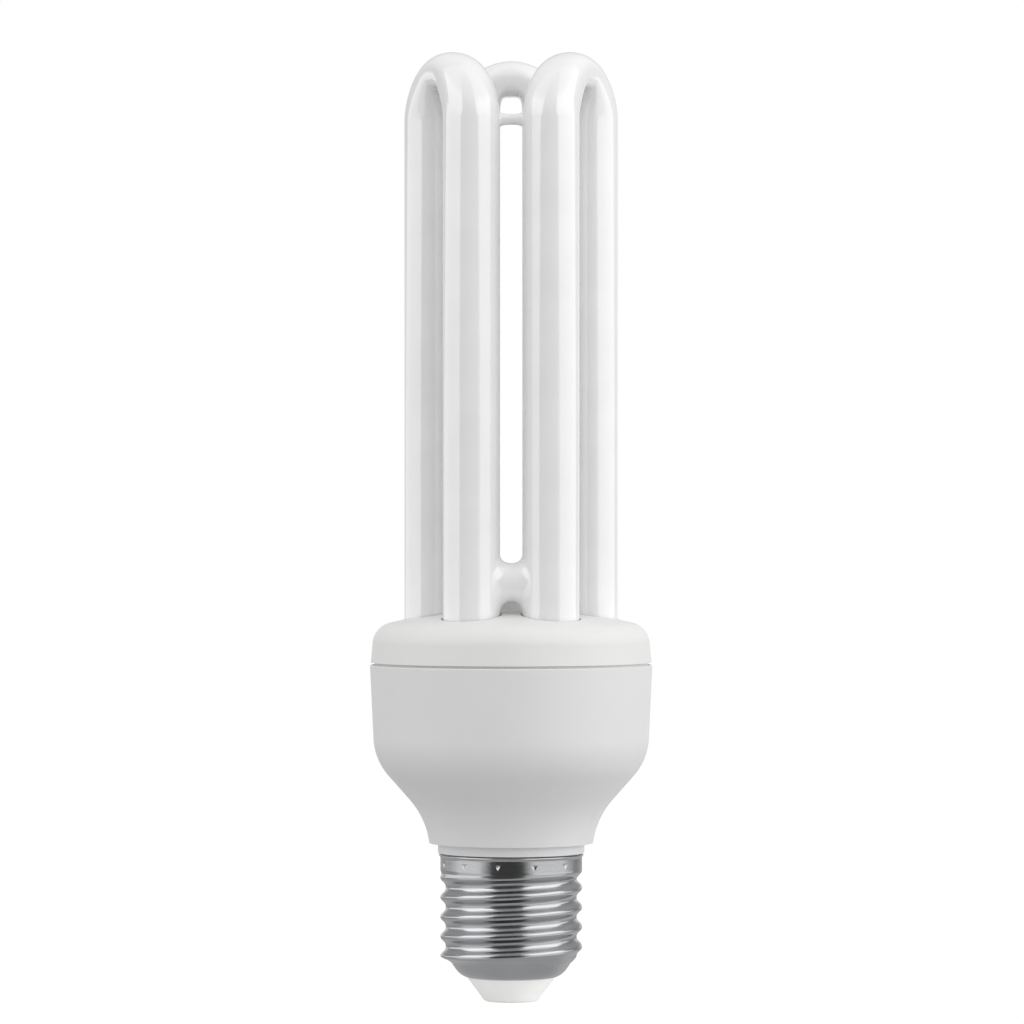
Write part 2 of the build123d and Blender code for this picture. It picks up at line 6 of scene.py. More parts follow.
import bmesh
import bpy
import numpy as np
from bpy.props import FloatProperty, FloatVectorProperty, IntProperty, PointerProperty
from bpy.types import Operator, Panel, PropertyGroup
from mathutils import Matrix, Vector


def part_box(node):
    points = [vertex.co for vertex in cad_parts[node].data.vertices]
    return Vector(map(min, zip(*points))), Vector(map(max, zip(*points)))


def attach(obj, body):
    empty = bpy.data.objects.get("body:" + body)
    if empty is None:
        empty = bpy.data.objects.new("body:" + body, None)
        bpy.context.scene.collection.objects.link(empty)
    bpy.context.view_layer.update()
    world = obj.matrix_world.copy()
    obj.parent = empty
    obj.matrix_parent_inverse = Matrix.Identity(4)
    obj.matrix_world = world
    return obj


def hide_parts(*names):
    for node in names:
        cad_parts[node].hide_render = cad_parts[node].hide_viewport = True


bl_info = {
    "name": "Three-tube compact fluorescent lamp",
    "version": (1, 0, 0),
    "blender": (4, 5, 0),
    "location": "View3D > Sidebar > Lamp",
    "description": "Glass, cap, housing and ballast finishes, and a studio, for a screw-in lamp",
    "category": "Object",
}

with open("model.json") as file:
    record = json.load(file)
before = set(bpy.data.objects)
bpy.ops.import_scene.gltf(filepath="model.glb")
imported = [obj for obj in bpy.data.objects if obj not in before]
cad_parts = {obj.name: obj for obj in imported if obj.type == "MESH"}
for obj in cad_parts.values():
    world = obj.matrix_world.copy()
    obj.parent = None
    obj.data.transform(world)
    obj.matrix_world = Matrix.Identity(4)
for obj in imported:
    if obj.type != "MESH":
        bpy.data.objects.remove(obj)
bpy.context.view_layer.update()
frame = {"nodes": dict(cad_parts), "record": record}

MM = 0.001
GLASS_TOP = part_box("discharge_tube")[1].z
SHELL_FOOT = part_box("screw_shell")[0].z
SHELL_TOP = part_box("screw_shell")[1].z
WHITE = (1, 1, 1, 1)

# Points round each surface
AROUND_TUBE = 72
AROUND_NECK = 64
AROUND_PINCH = 48
AROUND_SHELL = 288
AROUND_CONE = 144
AROUND_CONTACT = 96
AROUND_FLOOR = 96
AROUND_GLOW = 360

# Rows of points along each stretch of a surface
LEG_END_ROWS = 7
LEG_ROWS = 24
BEND_ROWS = 81
NECK_ROWS = 15
PINCH_ROWS = 14
FOOT_ROWS = 9
THREAD_ROWS = 150
BAND_ROWS = 56
CORNER_ROWS = 9
SOLDER_ROWS = 12
EASING_ROWS = 1600
GLOW_ROWS = 180

# Points nearer than this are merged, and edges that bend more than this are sharp
MERGE_DISTANCE = 1e-7
SHARP_ANGLE = radians(35)


def linear(hex_colour):
    """Linear RGBA of an sRGB hex colour."""
    srgb = np.array([int(hex_colour[i : i + 2], 16) for i in (1, 3, 5)]) / 255
    rgb = np.where(srgb <= 0.04045, srgb / 12.92, ((srgb + 0.055) / 1.055) ** 2.4)
    return (*rgb.tolist(), 1.0)


def length(name, description, millimetres):
    """A size that a user may change, in metres."""
    return FloatProperty(
        name=name, description=description, default=millimetres * MM, unit="LENGTH", precision=5
    )


def angle_of(name, description, degrees):
    """An angle that a user may change, in radians."""
    return FloatProperty(
        name=name, description=description, default=radians(degrees), subtype="ANGLE"
    )


def number(name, description, default):
    """A plain number that a user may change."""
    return FloatProperty(name=name, description=description, default=default)


def colour(name, description, hex_colour):
    """A colour that a user may change."""
    return FloatVectorProperty(
        name=name,
        description=description,
        default=linear(hex_colour),
        size=4,
        subtype="COLOR",
        min=0,
        max=1,
    )


class LampGlassSizes(PropertyGroup):
    """Sizes of the glass tube."""

    tube_radius: length("Tube radius", "Outside radius of the glass tube", 5.2)
    leg_gap: length("Leg gap", "Clear space between neighbouring legs", 4.15)
    crown: length("Crown", "Thickness of the flattened tube at the top of a bend", 6.7)
    crown_depth: length("Crown depth", "Depth of the flattened tube at the top of a bend", 9.5)
    outer_power: number("Outer power", "2 gives a round outer arch, less a pointed one", 1.87)
    inner_power: number("Inner power", "2 gives a crown that is oval below, more a squarer one", 4)
    arch_power: number("Arch power", "2 gives an elliptic inner arch, more a squarer one", 5)
    foot: length("Foot", "Height of the legs' hidden ends", 61.9)
    foot_round: length("Foot round", "Rounding of the legs' hidden ends", 1.2)
    bridge_height: length("Bridge height", "Height of the low glass bridges", 77.6)
    bridge_tall: length("Bridge half height", "Half height of a bridge at its waist", 3.55)
    bridge_deep: length("Bridge half depth", "Half depth of a bridge at its waist", 2.9)
    bridge_spread: length("Bridge spread", "How far a bridge flares along the legs", 2.0)
    bridge_droop: number("Bridge droop", "How much further a bridge flares downwards", 0.6)
    strut_height: length("Strut height", "Height of the thin glass strut", 162.1)
    strut_radius: length("Strut radius", "Radius of the thin glass strut", 0.98)
    strut_spread: length("Strut spread", "How far the strut flares along the legs", 0.6)
    pinch_drop: length("Pinch drop", "How far a pinched end reaches below its leg", 3.1)


class LampCapSizes(PropertyGroup):
    """Sizes of the screw cap."""

    crest_radius: length("Crest radius", "Radius over the thread's crests", 13.1)
    thread_depth: length("Thread depth", "Depth from crest to root", 1.0)
    pitch: length("Pitch", "Rise of the thread in one turn", 3.629)
    turns: IntProperty(name="Turns", description="Full turns of the thread", default=4)
    flank: angle_of("Flank", "Slope of the thread's flanks", 46)
    root_ease: number("Root ease", "How much wider than the mean arc the roots are", 0.22)
    start_angle: angle_of("Start angle", "Direction of the crest where the thread starts", 171)
    wall: length("Wall", "Thickness of the sheet metal", 0.4)
    foot_radius: length("Foot radius", "Radius of the hole in the shell's foot", 8.2)
    foot_round: length("Foot round", "Radius of the round from the foot into the cone", 3.9)
    cone_drop: length("Cone drop", "How far the top of the cone lies inside the crests", 2.05)
    cone_gap: length("Cone gap", "Height from the top of the cone to the full thread", 1.1)
    run_out: length("Run-out", "Height over which the thread runs out into the band", 1.4)
    band_height: length("Band height", "Height of the plain band", 2.55)
    lip_height: length("Lip height", "Height of the flared lip over the band", 0.75)
    lip_flare: length("Lip flare", "How far the lip stands out over the band", 0.32)
    dent_depth: length("Dent depth", "Depth of the staking dents in the plain band", 0.2)
    dent_width: length("Dent width", "Width of a staking dent", 1.15)
    dent_count: IntProperty(name="Dents", description="Staking dents round the band", default=12)
    dent_angle: angle_of("Dent angle", "Direction of the first staking dent", 19)
    contact_radius: length("Contact radius", "Radius of the centre contact", 3.6)
    solder_rise: length("Solder rise", "Height of the solder over the contact's plate", 0.12)


class LampColours(PropertyGroup):
    """Colours of the pieces that show."""

    phosphor: colour("Phosphor", "Phosphor coat seen through the glass", "#F7F7F7")
    phosphor_thin: colour("Thin phosphor", "Phosphor coat where it is thinnest", "#EEEDEE")
    cover: colour("Cover", "Moulded cover", "#EAEAE9")
    bowl: colour("Bowl", "Moulded bowl", "#E7E7E7")
    insulator: colour("Insulator", "Moulded insulation of the cap", "#FDFDFC")
    nickel: colour("Nickel", "Nickel plating", "#B0B1B3")


class LampStageSettings(PropertyGroup):
    """Camera and light of the studio."""

    camera_distance: length("Camera distance", "From the lamp's axis to the camera", 950)
    camera_height: length("Camera height", "Height of the level camera", 90.46)
    camera_side: length("Camera side", "Camera's offset to the right of the axis", 0.15)
    view_width: length("View width", "Width that the frame takes in at the axis", 189.35)
    right_light: number("Right light", "Brightness of the right softbox", 1.95)
    left_light: number("Left light", "Brightness of the left softbox", 0.45)
    top_light: number("Top light", "Brightness of the softbox overhead", 0.45)
    room_light: number("Room light", "Brightness of the light from all round", 0.85)


def grid_faces(rows, columns, round_rows=False, first=0):
    """Quads of a grid whose columns close on themselves, and its rows too where asked."""
    i, j = np.meshgrid(
        np.arange(rows if round_rows else rows - 1), np.arange(columns), indexing="ij"
    )
    next_i = (i + 1) % rows
    next_j = (j + 1) % columns
    quads = (i * columns + j, i * columns + next_j, next_i * columns + next_j, next_i * columns + j)
    return first + np.stack(quads, axis=-1).reshape(-1, 4)


def make_piece(name, grids, node, material, round_rows=False):
    """One object from grids of points; rows that shrink to a point close as poles."""
    faces = []
    first = 0
    for grid in grids:
        faces.append(grid_faces(grid.shape[0], grid.shape[1], round_rows, first))
        first += grid.shape[0] * grid.shape[1]
    points = np.concatenate([grid.reshape(-1, 3) for grid in grids])
    mesh = bpy.data.meshes.new(name)
    mesh.from_pydata(points.tolist(), [], np.concatenate(faces).tolist())
    work = bmesh.new()
    work.from_mesh(mesh)
    bmesh.ops.remove_doubles(work, verts=work.verts, dist=MERGE_DISTANCE)
    work.to_mesh(mesh)
    work.free()
    mesh.shade_smooth()
    mesh.set_sharp_from_angle(angle=SHARP_ANGLE)
    mesh.materials.append(material)
    piece = bpy.data.objects.new(name, mesh)
    bpy.context.scene.collection.objects.link(piece)
    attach(piece, "root")
    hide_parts(node)


def about_axis(points, degrees):
    """Points turned about the lamp's axis."""
    c, s = np.cos(radians(degrees)), np.sin(radians(degrees))
    return points @ np.array([[c, s, 0], [-s, c, 0], [0, 0, 1]])


def turned(outline, columns):
    """Surface of revolution: each (r, z) of the outline carried round the axis."""
    angle = np.linspace(0, 2 * np.pi, columns, endpoint=False)
    r, z = outline[:, :1], outline[:, 1:]
    return np.stack([r * np.cos(angle), r * np.sin(angle), z + 0 * angle], axis=-1)


def rounded(corners):
    """Closed outline through (r, z, radius) corners in millimetres, each rounded by its own arc.

    An arc starts and ends radius / tan(half the corner's angle) from the corner, its centre is on
    the bisector, and its points swing evenly between the two ends.
    """
    corners = np.array(corners, float)
    point, radius = corners[:, None, :2], corners[:, None, 2:]
    back = np.roll(point, 1, axis=0) - point
    ahead = np.roll(point, -1, axis=0) - point
    back /= np.linalg.norm(back, axis=-1, keepdims=True)
    ahead /= np.linalg.norm(ahead, axis=-1, keepdims=True)
    half = np.arccos((back * ahead).sum(axis=-1, keepdims=True)) / 2
    bisector = (back + ahead) / np.linalg.norm(back + ahead, axis=-1, keepdims=True)
    centre = point + bisector * radius / np.sin(half)
    start = point + back * radius / np.tan(half) - centre
    end = point + ahead * radius / np.tan(half) - centre
    swing = np.pi - 2 * half
    share = np.linspace(0, 1, CORNER_ROWS)[None, :, None]
    arc = np.sin((1 - share) * swing) * start + np.sin(share * swing) * end
    return (centre + arc / np.sin(swing)).reshape(-1, 2) * MM


def eased(heights, corners, width):
    """Straight runs between (height, value) corners, eased by a running mean of a given width."""
    fine = np.linspace(heights.min() - width, heights.max() + width, EASING_ROWS)
    value = np.interp(fine, *np.array(corners).T)
    count = max(3, int(round(width / (fine[1] - fine[0]))))
    padded = np.pad(value, count // 2, mode="edge")
    mean = np.convolve(padded, np.ones(count) / count, mode="same")
    mean = mean[count // 2 : count // 2 + len(fine)]
    return np.interp(heights, fine, mean)


def signed_power(value, power):
    """A power of the size of each value, with the value's own sign."""
    return np.sign(value) * np.abs(value) ** power


def u_bend(size):
    """Middles, reaches and depths of a bend's rows, and how far each is bent, from 0 to 1.

    A row lies between a point of the outer arch, a superellipse a little more pointed than a half
    circle, and the point at the same turn of the inner arch, a superellipse with square shoulders.
    Its depth shrinks towards the crown, as the square of the turn's sine.
    """
    radius, half_gap = size.tube_radius, size.leg_gap / 2
    outer = half_gap + 2 * radius
    turn = np.linspace(0, np.pi, BEND_ROWS)
    bent = np.sin(turn) ** 2
    power = 2 / size.outer_power
    out_reach = outer * signed_power(np.cos(turn), power)
    out_rise = outer * np.sin(turn).clip(0) ** power
    outside = np.stack([out_reach, out_rise], axis=-1)
    power = 2 / size.arch_power
    from_crown = 1 - 2 * turn / np.pi
    lean = np.pi / 2 * (1 - (1 - np.abs(from_crown)) ** (1 / power))
    arch_reach = half_gap * np.sign(from_crown) * np.sin(lean) ** power
    arch_rise = (outer - size.crown) * np.abs(np.cos(lean).round(9)) ** power
    inside = np.stack([arch_reach, arch_rise], axis=-1)
    middle = (outside + inside) / 2 + [0, GLASS_TOP - outer]
    depth = radius - (radius - size.crown_depth / 2) * bent
    return middle, (outside - inside) / 2, depth, bent


def leg(size):
    """Middles, reaches and depths of a leg's rows: circles from a point at its rounded foot."""
    radius, half_gap = size.tube_radius, size.leg_gap / 2
    spring = GLASS_TOP - half_gap - 2 * radius
    quarter = np.linspace(0, np.pi / 2, LEG_END_ROWS)
    end_radius = np.r_[0, radius - size.foot_round * (1 - np.sin(quarter))]
    end_height = size.foot + np.r_[0, size.foot_round * (1 - np.cos(quarter))]
    straight = np.linspace(end_height[-1], spring, LEG_ROWS)[1:-1]
    height = np.r_[end_height, straight]
    depth = np.r_[end_radius, np.full(len(straight), radius)]
    middle = np.stack([np.full(len(height), half_gap + radius), height], axis=-1)
    return middle, np.stack([depth, 0 * depth], axis=-1), depth


def u_tube(size):
    """Tube bent to a U in the XZ plane.

    Each row is an ellipse about the tube's path, a circle on the legs. On the bend its inner half
    turns squarer, a superellipse, so the crown comes out flattened and its sides stay upright down
    to the inner arch.
    """
    bend_middle, bend_reach, bend_depth, bent = u_bend(size)
    leg_middle, leg_reach, leg_depth = leg(size)
    mirror = np.array([-1, 1])
    middle = np.concatenate([leg_middle, bend_middle, leg_middle[::-1] * mirror])
    reach = np.concatenate([leg_reach, bend_reach, -leg_reach[::-1]])
    depth = np.concatenate([leg_depth, bend_depth, leg_depth[::-1]])[:, None]
    bent = np.concatenate([0 * leg_depth, bent, 0 * leg_depth])[:, None]
    a = np.linspace(0, 2 * np.pi, AROUND_TUBE, endpoint=False)
    power = np.where(np.cos(a) < 0, 2 / (2 + (size.inner_power - 2) * bent), 1)
    outwards = signed_power(np.cos(a), power)
    x = middle[:, :1] + reach[:, :1] * outwards
    y = depth * signed_power(np.sin(a), power)
    z = middle[:, 1:] + reach[:, 1:] * outwards
    return np.stack([x, y, z], axis=-1)


def glass_neck(size, height, tall, deep, spread, droop=0.0):
    """Neck of glass along X between two legs.

    Round the neck by an angle, each half is a quadratic curve from the waist's ellipse, by the
    point where a straight neck would meet the leg, to a point on the leg on a wider ellipse, whose
    lower half reaches further by the droop. The ends close on points inside the legs.
    """
    radius = size.tube_radius
    half_pitch = radius + size.leg_gap / 2
    a = np.linspace(0, 2 * np.pi, AROUND_NECK, endpoint=False)

    def on_leg(y):
        return half_pitch - np.sqrt(radius**2 - y**2)

    waist_y, waist_z = deep * np.cos(a), tall * np.sin(a)
    wide_y = (deep + spread / 2) * np.cos(a)
    wide_z = (tall + spread * (1 - droop * np.minimum(np.sin(a), 0))) * np.sin(a)
    t = np.linspace(0, 1, NECK_ROWS)[:, None]
    x = 2 * t * (1 - t) * on_leg(waist_y) + t**2 * on_leg(wide_y)
    y = (1 - t**2) * waist_y + t**2 * wide_y
    z = (1 - t**2) * waist_z + t**2 * wide_z
    right = np.stack([x, y, z], axis=-1)
    pole = np.zeros((1, len(a), 3)) + [half_pitch - radius / 2, 0, 0]
    right = np.concatenate([right, pole])
    left = right[:0:-1] * [-1, 1, 1]
    return np.concatenate([left, right]) + [0, 0, height]


def pinched_end(size):
    """Flattened end under a leg: an ellipse that narrows smoothly from the tube to a thin blade.

    Its half thickness and half width are shares of the tube's radius.
    """
    root_thick, blade_thick = 0.8, 0.25
    root_wide, blade_wide = 0.9, 0.76
    share = np.linspace(0, 1, PINCH_ROWS)[:, None]
    ease = share**2 * (3 - 2 * share)
    top = size.foot + size.foot_round
    bottom = size.foot - size.pinch_drop
    thick = size.tube_radius * (root_thick + (blade_thick - root_thick) * ease)
    wide = size.tube_radius * (root_wide + (blade_wide - root_wide) * ease)
    a = np.linspace(0, 2 * np.pi, AROUND_PINCH, endpoint=False)
    z = bottom + (top - bottom) * (1 - share) + 0 * a
    blade = np.stack([thick * np.cos(a), wide * np.sin(a), z], axis=-1)[::-1]
    pole = np.zeros((1, len(a), 3))
    return np.concatenate([pole + [0, 0, bottom], blade, pole + [0, 0, top]])


def thread_wave(size, angle, rise):
    """How far a round thread stands over its mean radius, by angle and by rise, in millimetres.

    The crest climbs one pitch a turn. Crests, and the wider roots, are arcs joined by straight
    flanks.
    """
    depth, pitch = size.thread_depth / MM, size.pitch / MM
    slope = np.tan(size.flank)
    crest_angle = size.start_angle + 2 * np.pi * rise[:, None] / pitch
    from_crest = np.abs((angle - crest_angle + np.pi) % (2 * np.pi) / np.pi - 1)
    on_crest = from_crest < 0.5
    mean_arc = (pitch / 2 * slope - depth) / (2 / np.cos(size.flank) - 2)
    arc = mean_arc * np.where(on_crest, 1 - size.root_ease, 1 + size.root_ease)
    off = pitch / 2 * np.minimum(from_crest, 1 - from_crest)
    bend = np.minimum(off, arc * np.sin(size.flank))
    stand = depth / 2 - arc + np.sqrt(arc**2 - bend**2) - (off - bend) * slope
    return np.where(on_crest, stand, -stand)


def staking_dents(size, angle, rise):
    """Depth of the dents, by angle and by rise over their middle, in millimetres.

    A dent has a level top edge and two edges that slant to a point below. It is as deep as the
    nearest of the three is far, down to a flat floor.
    """
    top_share, steepness = 0.75, 1.7
    side_out, side_up = 0.87, 0.5
    step = 2 * np.pi / size.dent_count
    along = ((angle - size.dent_angle + step / 2) % step - step / 2) * size.crest_radius / MM
    half = size.dent_width / MM / 2
    to_top = top_share * half - rise[:, None]
    to_side = side_out * (half - np.abs(along)) - side_up * to_top
    near = np.minimum(to_top, to_side) / half
    return size.dent_depth / MM * np.clip(near * steepness, 0, 1)


def screw_shell(size):
    """Rolled shell of the cap, closed round its sheet metal.

    Outside, the radius is a round foot and then an eased outline, plus the thread where it has
    swelled up, less the staking dents. Inside, it is a plain stepped bore. The columns crowd
    together at the dents.
    """
    foot, top = SHELL_FOOT / MM, SHELL_TOP / MM
    crest, depth, wall = size.crest_radius / MM, size.thread_depth / MM, size.wall / MM
    rim = top - size.lip_height / MM
    band = rim - size.band_height / MM
    thread_top = band - size.run_out / MM
    thread_low = thread_top - size.turns * size.pitch / MM
    cone_top = thread_low - size.cone_gap / MM
    hole, foot_round = size.foot_radius / MM, size.foot_round / MM
    cone, mean = crest - size.cone_drop / MM, crest - depth / 2
    flare, flare_low, flare_high = crest + size.lip_flare / MM, top - 0.5, top - 0.3
    band_waist, band_neck, mouth = crest - 0.01, crest - 0.012, crest - 0.1
    inner_cone, inner_foot, inner_foot_top = cone - 0.45, hole + 0.7, foot + 0.9
    outline_ease, swell_ease, crowding = 0.32, 0.5, 0.7

    foot_slope = np.linspace(radians(17), radians(57), FOOT_ROWS)
    foot_radius = hole + foot_round * (np.sin(foot_slope) - np.sin(foot_slope[0]))
    foot_height = foot + foot_round * (np.cos(foot_slope[0]) - np.cos(foot_slope))
    low = np.linspace(foot_height[-1], thread_top, THREAD_ROWS)[1:]
    height = np.r_[low, np.linspace(thread_top, top, BAND_ROWS)[1:]]
    outline = [
        (foot_height[-1], foot_radius[-1]),
        (cone_top, cone),
        (thread_low, mean),
        (thread_top, mean),
        (band, crest),
        ((band + rim) / 2, band_waist),
        (rim, band_neck),
        (flare_low, flare),
        (flare_high, flare),
        (top, mouth),
    ]
    swelling = [(cone_top, 0), (thread_low, 1), (thread_top, 1), (band, 0)]
    base = eased(height, outline, outline_ease)[:, None]
    swell = eased(height, swelling, swell_ease)[:, None]
    even = np.linspace(0, 2 * np.pi, AROUND_SHELL, endpoint=False)
    angle = size.dent_angle + even - crowding * np.sin(size.dent_count * even) / size.dent_count
    outside = base + swell * thread_wave(size, angle, height - thread_low)
    outside = outside - staking_dents(size, angle, height - (band + rim) / 2)

    edge_steps = np.array([[0.05], [0.2], [0.32]])
    edge = outside[-1:] - edge_steps * np.ones_like(angle)
    bore = np.array(
        [
            (crest - wall, top),
            (crest - wall, band + wall / 2),
            (crest - wall - depth, thread_top + wall / 2),
            (crest - wall - depth, thread_low + wall),
            (inner_cone, cone_top),
            (inner_foot, inner_foot_top),
            (hole, foot + wall),
        ]
    )
    low_radius = foot_radius[:, None] + 0 * angle
    bore_radius = bore[:, :1] + 0 * angle
    radius = np.concatenate([low_radius, outside, edge, bore_radius])
    height = np.r_[foot_height, height, np.full(len(edge_steps), top), bore[:, 1]]
    z = height[:, None] + 0 * angle
    return np.stack([radius * np.cos(angle), radius * np.sin(angle), z], axis=-1) * MM


def insulator_outline(size):
    """Outline of the cone: the contact's seat, a step for the shell's foot, a flange and a bore."""
    foot = SHELL_FOOT / MM
    seat, face, seat_top = size.contact_radius / MM + 0.05, 0.15, 0.8
    tip, step, step_top = 4.95, 8.15, foot + 0.45
    flange, flange_low, flange_top, bore = 9.1, foot + 1.4, foot + 2.35, 1.35
    return rounded(
        [
            (seat, face, 0.05),
            (tip, face, 0.7),
            (step, foot, 0.1),
            (step, step_top, 0.05),
            (flange, flange_low, 0.1),
            (flange, flange_top, 0.2),
            (bore, flange_top, 0.1),
            (bore, seat_top, 0.05),
            (seat, seat_top, 0.05),
        ]
    )


def contact_outline(size):
    """Outline of the contact: a low dome of solder, a plate with a rounded edge and an eyelet."""
    plate, rise = size.contact_radius / MM, size.solder_rise / MM
    solder_radius, edge, plate_top, eyelet, eyelet_top = 2.5, 0.12, 0.75, 1.3, 7.2
    turn = np.linspace(0, np.pi / 2, SOLDER_ROWS)
    solder = np.stack([solder_radius * np.sin(turn), rise * (1 - np.cos(turn))], axis=1)
    disc = [
        (plate - edge, rise),
        (plate - edge / 4, rise + edge / 3),
        (plate, rise + edge),
        (plate, plate_top),
        (eyelet, plate_top),
        (eyelet, eyelet_top),
        (0, eyelet_top),
    ]
    return np.concatenate([solder, disc]) * MM


def add(tree, kind, settings=(), links=()):
    """Add a node, set its own settings and its sockets, and link other sockets into it."""
    node = tree.nodes.new(kind)
    for key, value in dict(settings).items():
        if isinstance(key, str) and key in node.bl_rna.properties:
            setattr(node, key, value)
        else:
            node.inputs[key].default_value = value
    for key, source in dict(links).items():
        tree.links.new(source, node.inputs[key])
    return node


def empty_tree(owner):
    """Node tree of a material or a world, with nothing in it."""
    owner.use_nodes = True
    owner.node_tree.nodes.clear()
    return owner.node_tree


def new_material(name, settings):
    """A material with a Principled shader, and the Object coordinates its patterns use."""
    material = bpy.data.materials.new(name)
    tree = empty_tree(material)
    shader = add(tree, "ShaderNodeBsdfPrincipled", settings)
    add(tree, "ShaderNodeOutputMaterial", (), {"Surface": shader.outputs["BSDF"]})
    place = add(tree, "ShaderNodeTexCoord").outputs["Object"]
    return material, tree, shader, place


def per_metre(millimetres):
    """Noise scale whose features are about a given size."""
    return 1 / (millimetres * MM)


def darker(tint, share):
    """A share of a linear colour, still opaque."""
    return tuple(share * c for c in tint[:3]) + (1.0,)


def coated_glass(colours):
    """Drawn soda-lime glass with phosphor powder inside: white, faintly cloudy, hard and glossy."""
    material, tree, shader, place = new_material(
        "coated_glass", {"Roughness": 0.05, "IOR": 1.52, "Specular IOR Level": 1.0}
    )
    cloud = add(
        tree, "ShaderNodeTexNoise", {"Scale": per_metre(7), "Detail": 3.0}, {"Vector": place}
    )
    tone = add(
        tree,
        "ShaderNodeMix",
        {"data_type": "RGBA", "A": colours.phosphor_thin, "B": colours.phosphor},
        {"Factor": cloud.outputs["Fac"]},
    )
    tree.links.new(tone.outputs["Result"], shader.inputs["Base Color"])
    drawn = add(tree, "ShaderNodeMapping", {"Scale": (1.0, 1.0, 0.06)}, {"Vector": place})
    lines = add(
        tree,
        "ShaderNodeTexNoise",
        {"Scale": per_metre(1.6), "Detail": 2.0},
        {"Vector": drawn.outputs["Vector"]},
    )
    bump = add(
        tree,
        "ShaderNodeBump",
        {"Strength": 0.25, "Distance": 0.02 * MM},
        {"Height": lines.outputs["Fac"]},
    )
    tree.links.new(bump.outputs["Normal"], shader.inputs["Normal"])
    return material


def moulded_pbt(name, tint, roughness):
    """Injection-moulded PBT: white, satin, with the fine grain of a spark-eroded mould."""
    material, tree, shader, place = new_material(name, {"IOR": 1.55})
    wear = add(
        tree, "ShaderNodeTexNoise", {"Scale": per_metre(9), "Detail": 4.0}, {"Vector": place}
    )
    tone = add(
        tree,
        "ShaderNodeMix",
        {"data_type": "RGBA", "A": darker(tint, 0.94), "B": tint},
        {"Factor": wear.outputs["Fac"]},
    )
    tree.links.new(tone.outputs["Result"], shader.inputs["Base Color"])
    rough = add(
        tree,
        "ShaderNodeMapRange",
        {"To Min": roughness - 0.05, "To Max": roughness + 0.07},
        {"Value": wear.outputs["Fac"]},
    )
    tree.links.new(rough.outputs["Result"], shader.inputs["Roughness"])
    grain = add(
        tree, "ShaderNodeTexNoise", {"Scale": per_metre(0.35), "Detail": 2.0}, {"Vector": place}
    )
    bump = add(
        tree,
        "ShaderNodeBump",
        {"Strength": 0.3, "Distance": 0.008 * MM},
        {"Height": grain.outputs["Fac"]},
    )
    tree.links.new(bump.outputs["Normal"], shader.inputs["Normal"])
    return material


def plated_nickel(tint):
    """Rolled sheet metal, nickel plated: bright, faintly stained, with marks round it from rolling.

    Its fine grain is drawn coarser than the real one, and even so it hardly shows at this scale.
    """
    material, tree, shader, place = new_material("plated_nickel", {"Metallic": 1.0})
    ringwise = add(tree, "ShaderNodeMapping", {"Scale": (0.12, 0.12, 1.0)}, {"Vector": place})
    marks = add(
        tree,
        "ShaderNodeTexNoise",
        {"Scale": per_metre(0.4), "Detail": 3.0},
        {"Vector": ringwise.outputs["Vector"]},
    )
    stains = add(
        tree, "ShaderNodeTexNoise", {"Scale": per_metre(5), "Detail": 5.0}, {"Vector": place}
    )
    tone = add(
        tree,
        "ShaderNodeMix",
        {"data_type": "RGBA", "A": darker(tint, 0.82), "B": tint},
        {"Factor": stains.outputs["Fac"]},
    )
    tree.links.new(tone.outputs["Result"], shader.inputs["Base Color"])
    rough = add(
        tree,
        "ShaderNodeMapRange",
        {"To Min": 0.12, "To Max": 0.26},
        {"Value": marks.outputs["Fac"]},
    )
    tree.links.new(rough.outputs["Result"], shader.inputs["Roughness"])
    scored = add(
        tree,
        "ShaderNodeBump",
        {"Strength": 0.25, "Distance": 0.01 * MM},
        {"Height": marks.outputs["Fac"]},
    )
    grain = add(
        tree, "ShaderNodeTexNoise", {"Scale": per_metre(0.4), "Detail": 2.0}, {"Vector": place}
    )
    bump = add(
        tree,
        "ShaderNodeBump",
        {"Strength": 0.25, "Distance": 0.03 * MM},
        {"Height": grain.outputs["Fac"], "Normal": scored.outputs["Normal"]},
    )
    tree.links.new(bump.outputs["Normal"], shader.inputs["Normal"])
    return material


def inner_finish(name, hex_colour, grain_mm, roughness, metallic=0.0):
    """Finish of a ballast part: one colour, mottled and bumped at its own grain."""
    material, tree, shader, place = new_material(name, {"Metallic": metallic})
    grain = add(
        tree, "ShaderNodeTexNoise", {"Scale": per_metre(grain_mm), "Detail": 4.0}, {"Vector": place}
    )
    tint = linear(hex_colour)
    tone = add(
        tree,
        "ShaderNodeMix",
        {"data_type": "RGBA", "A": darker(tint, 0.75), "B": tint},
        {"Factor": grain.outputs["Fac"]},
    )
    tree.links.new(tone.outputs["Result"], shader.inputs["Base Color"])
    rough = add(
        tree,
        "ShaderNodeMapRange",
        {"To Min": roughness - 0.08, "To Max": roughness + 0.08},
        {"Value": grain.outputs["Fac"]},
    )
    tree.links.new(rough.outputs["Result"], shader.inputs["Roughness"])
    bump = add(
        tree,
        "ShaderNodeBump",
        {"Strength": 0.3, "Distance": 0.02 * MM},
        {"Height": grain.outputs["Fac"]},
    )
    tree.links.new(bump.outputs["Normal"], shader.inputs["Normal"])
    return material


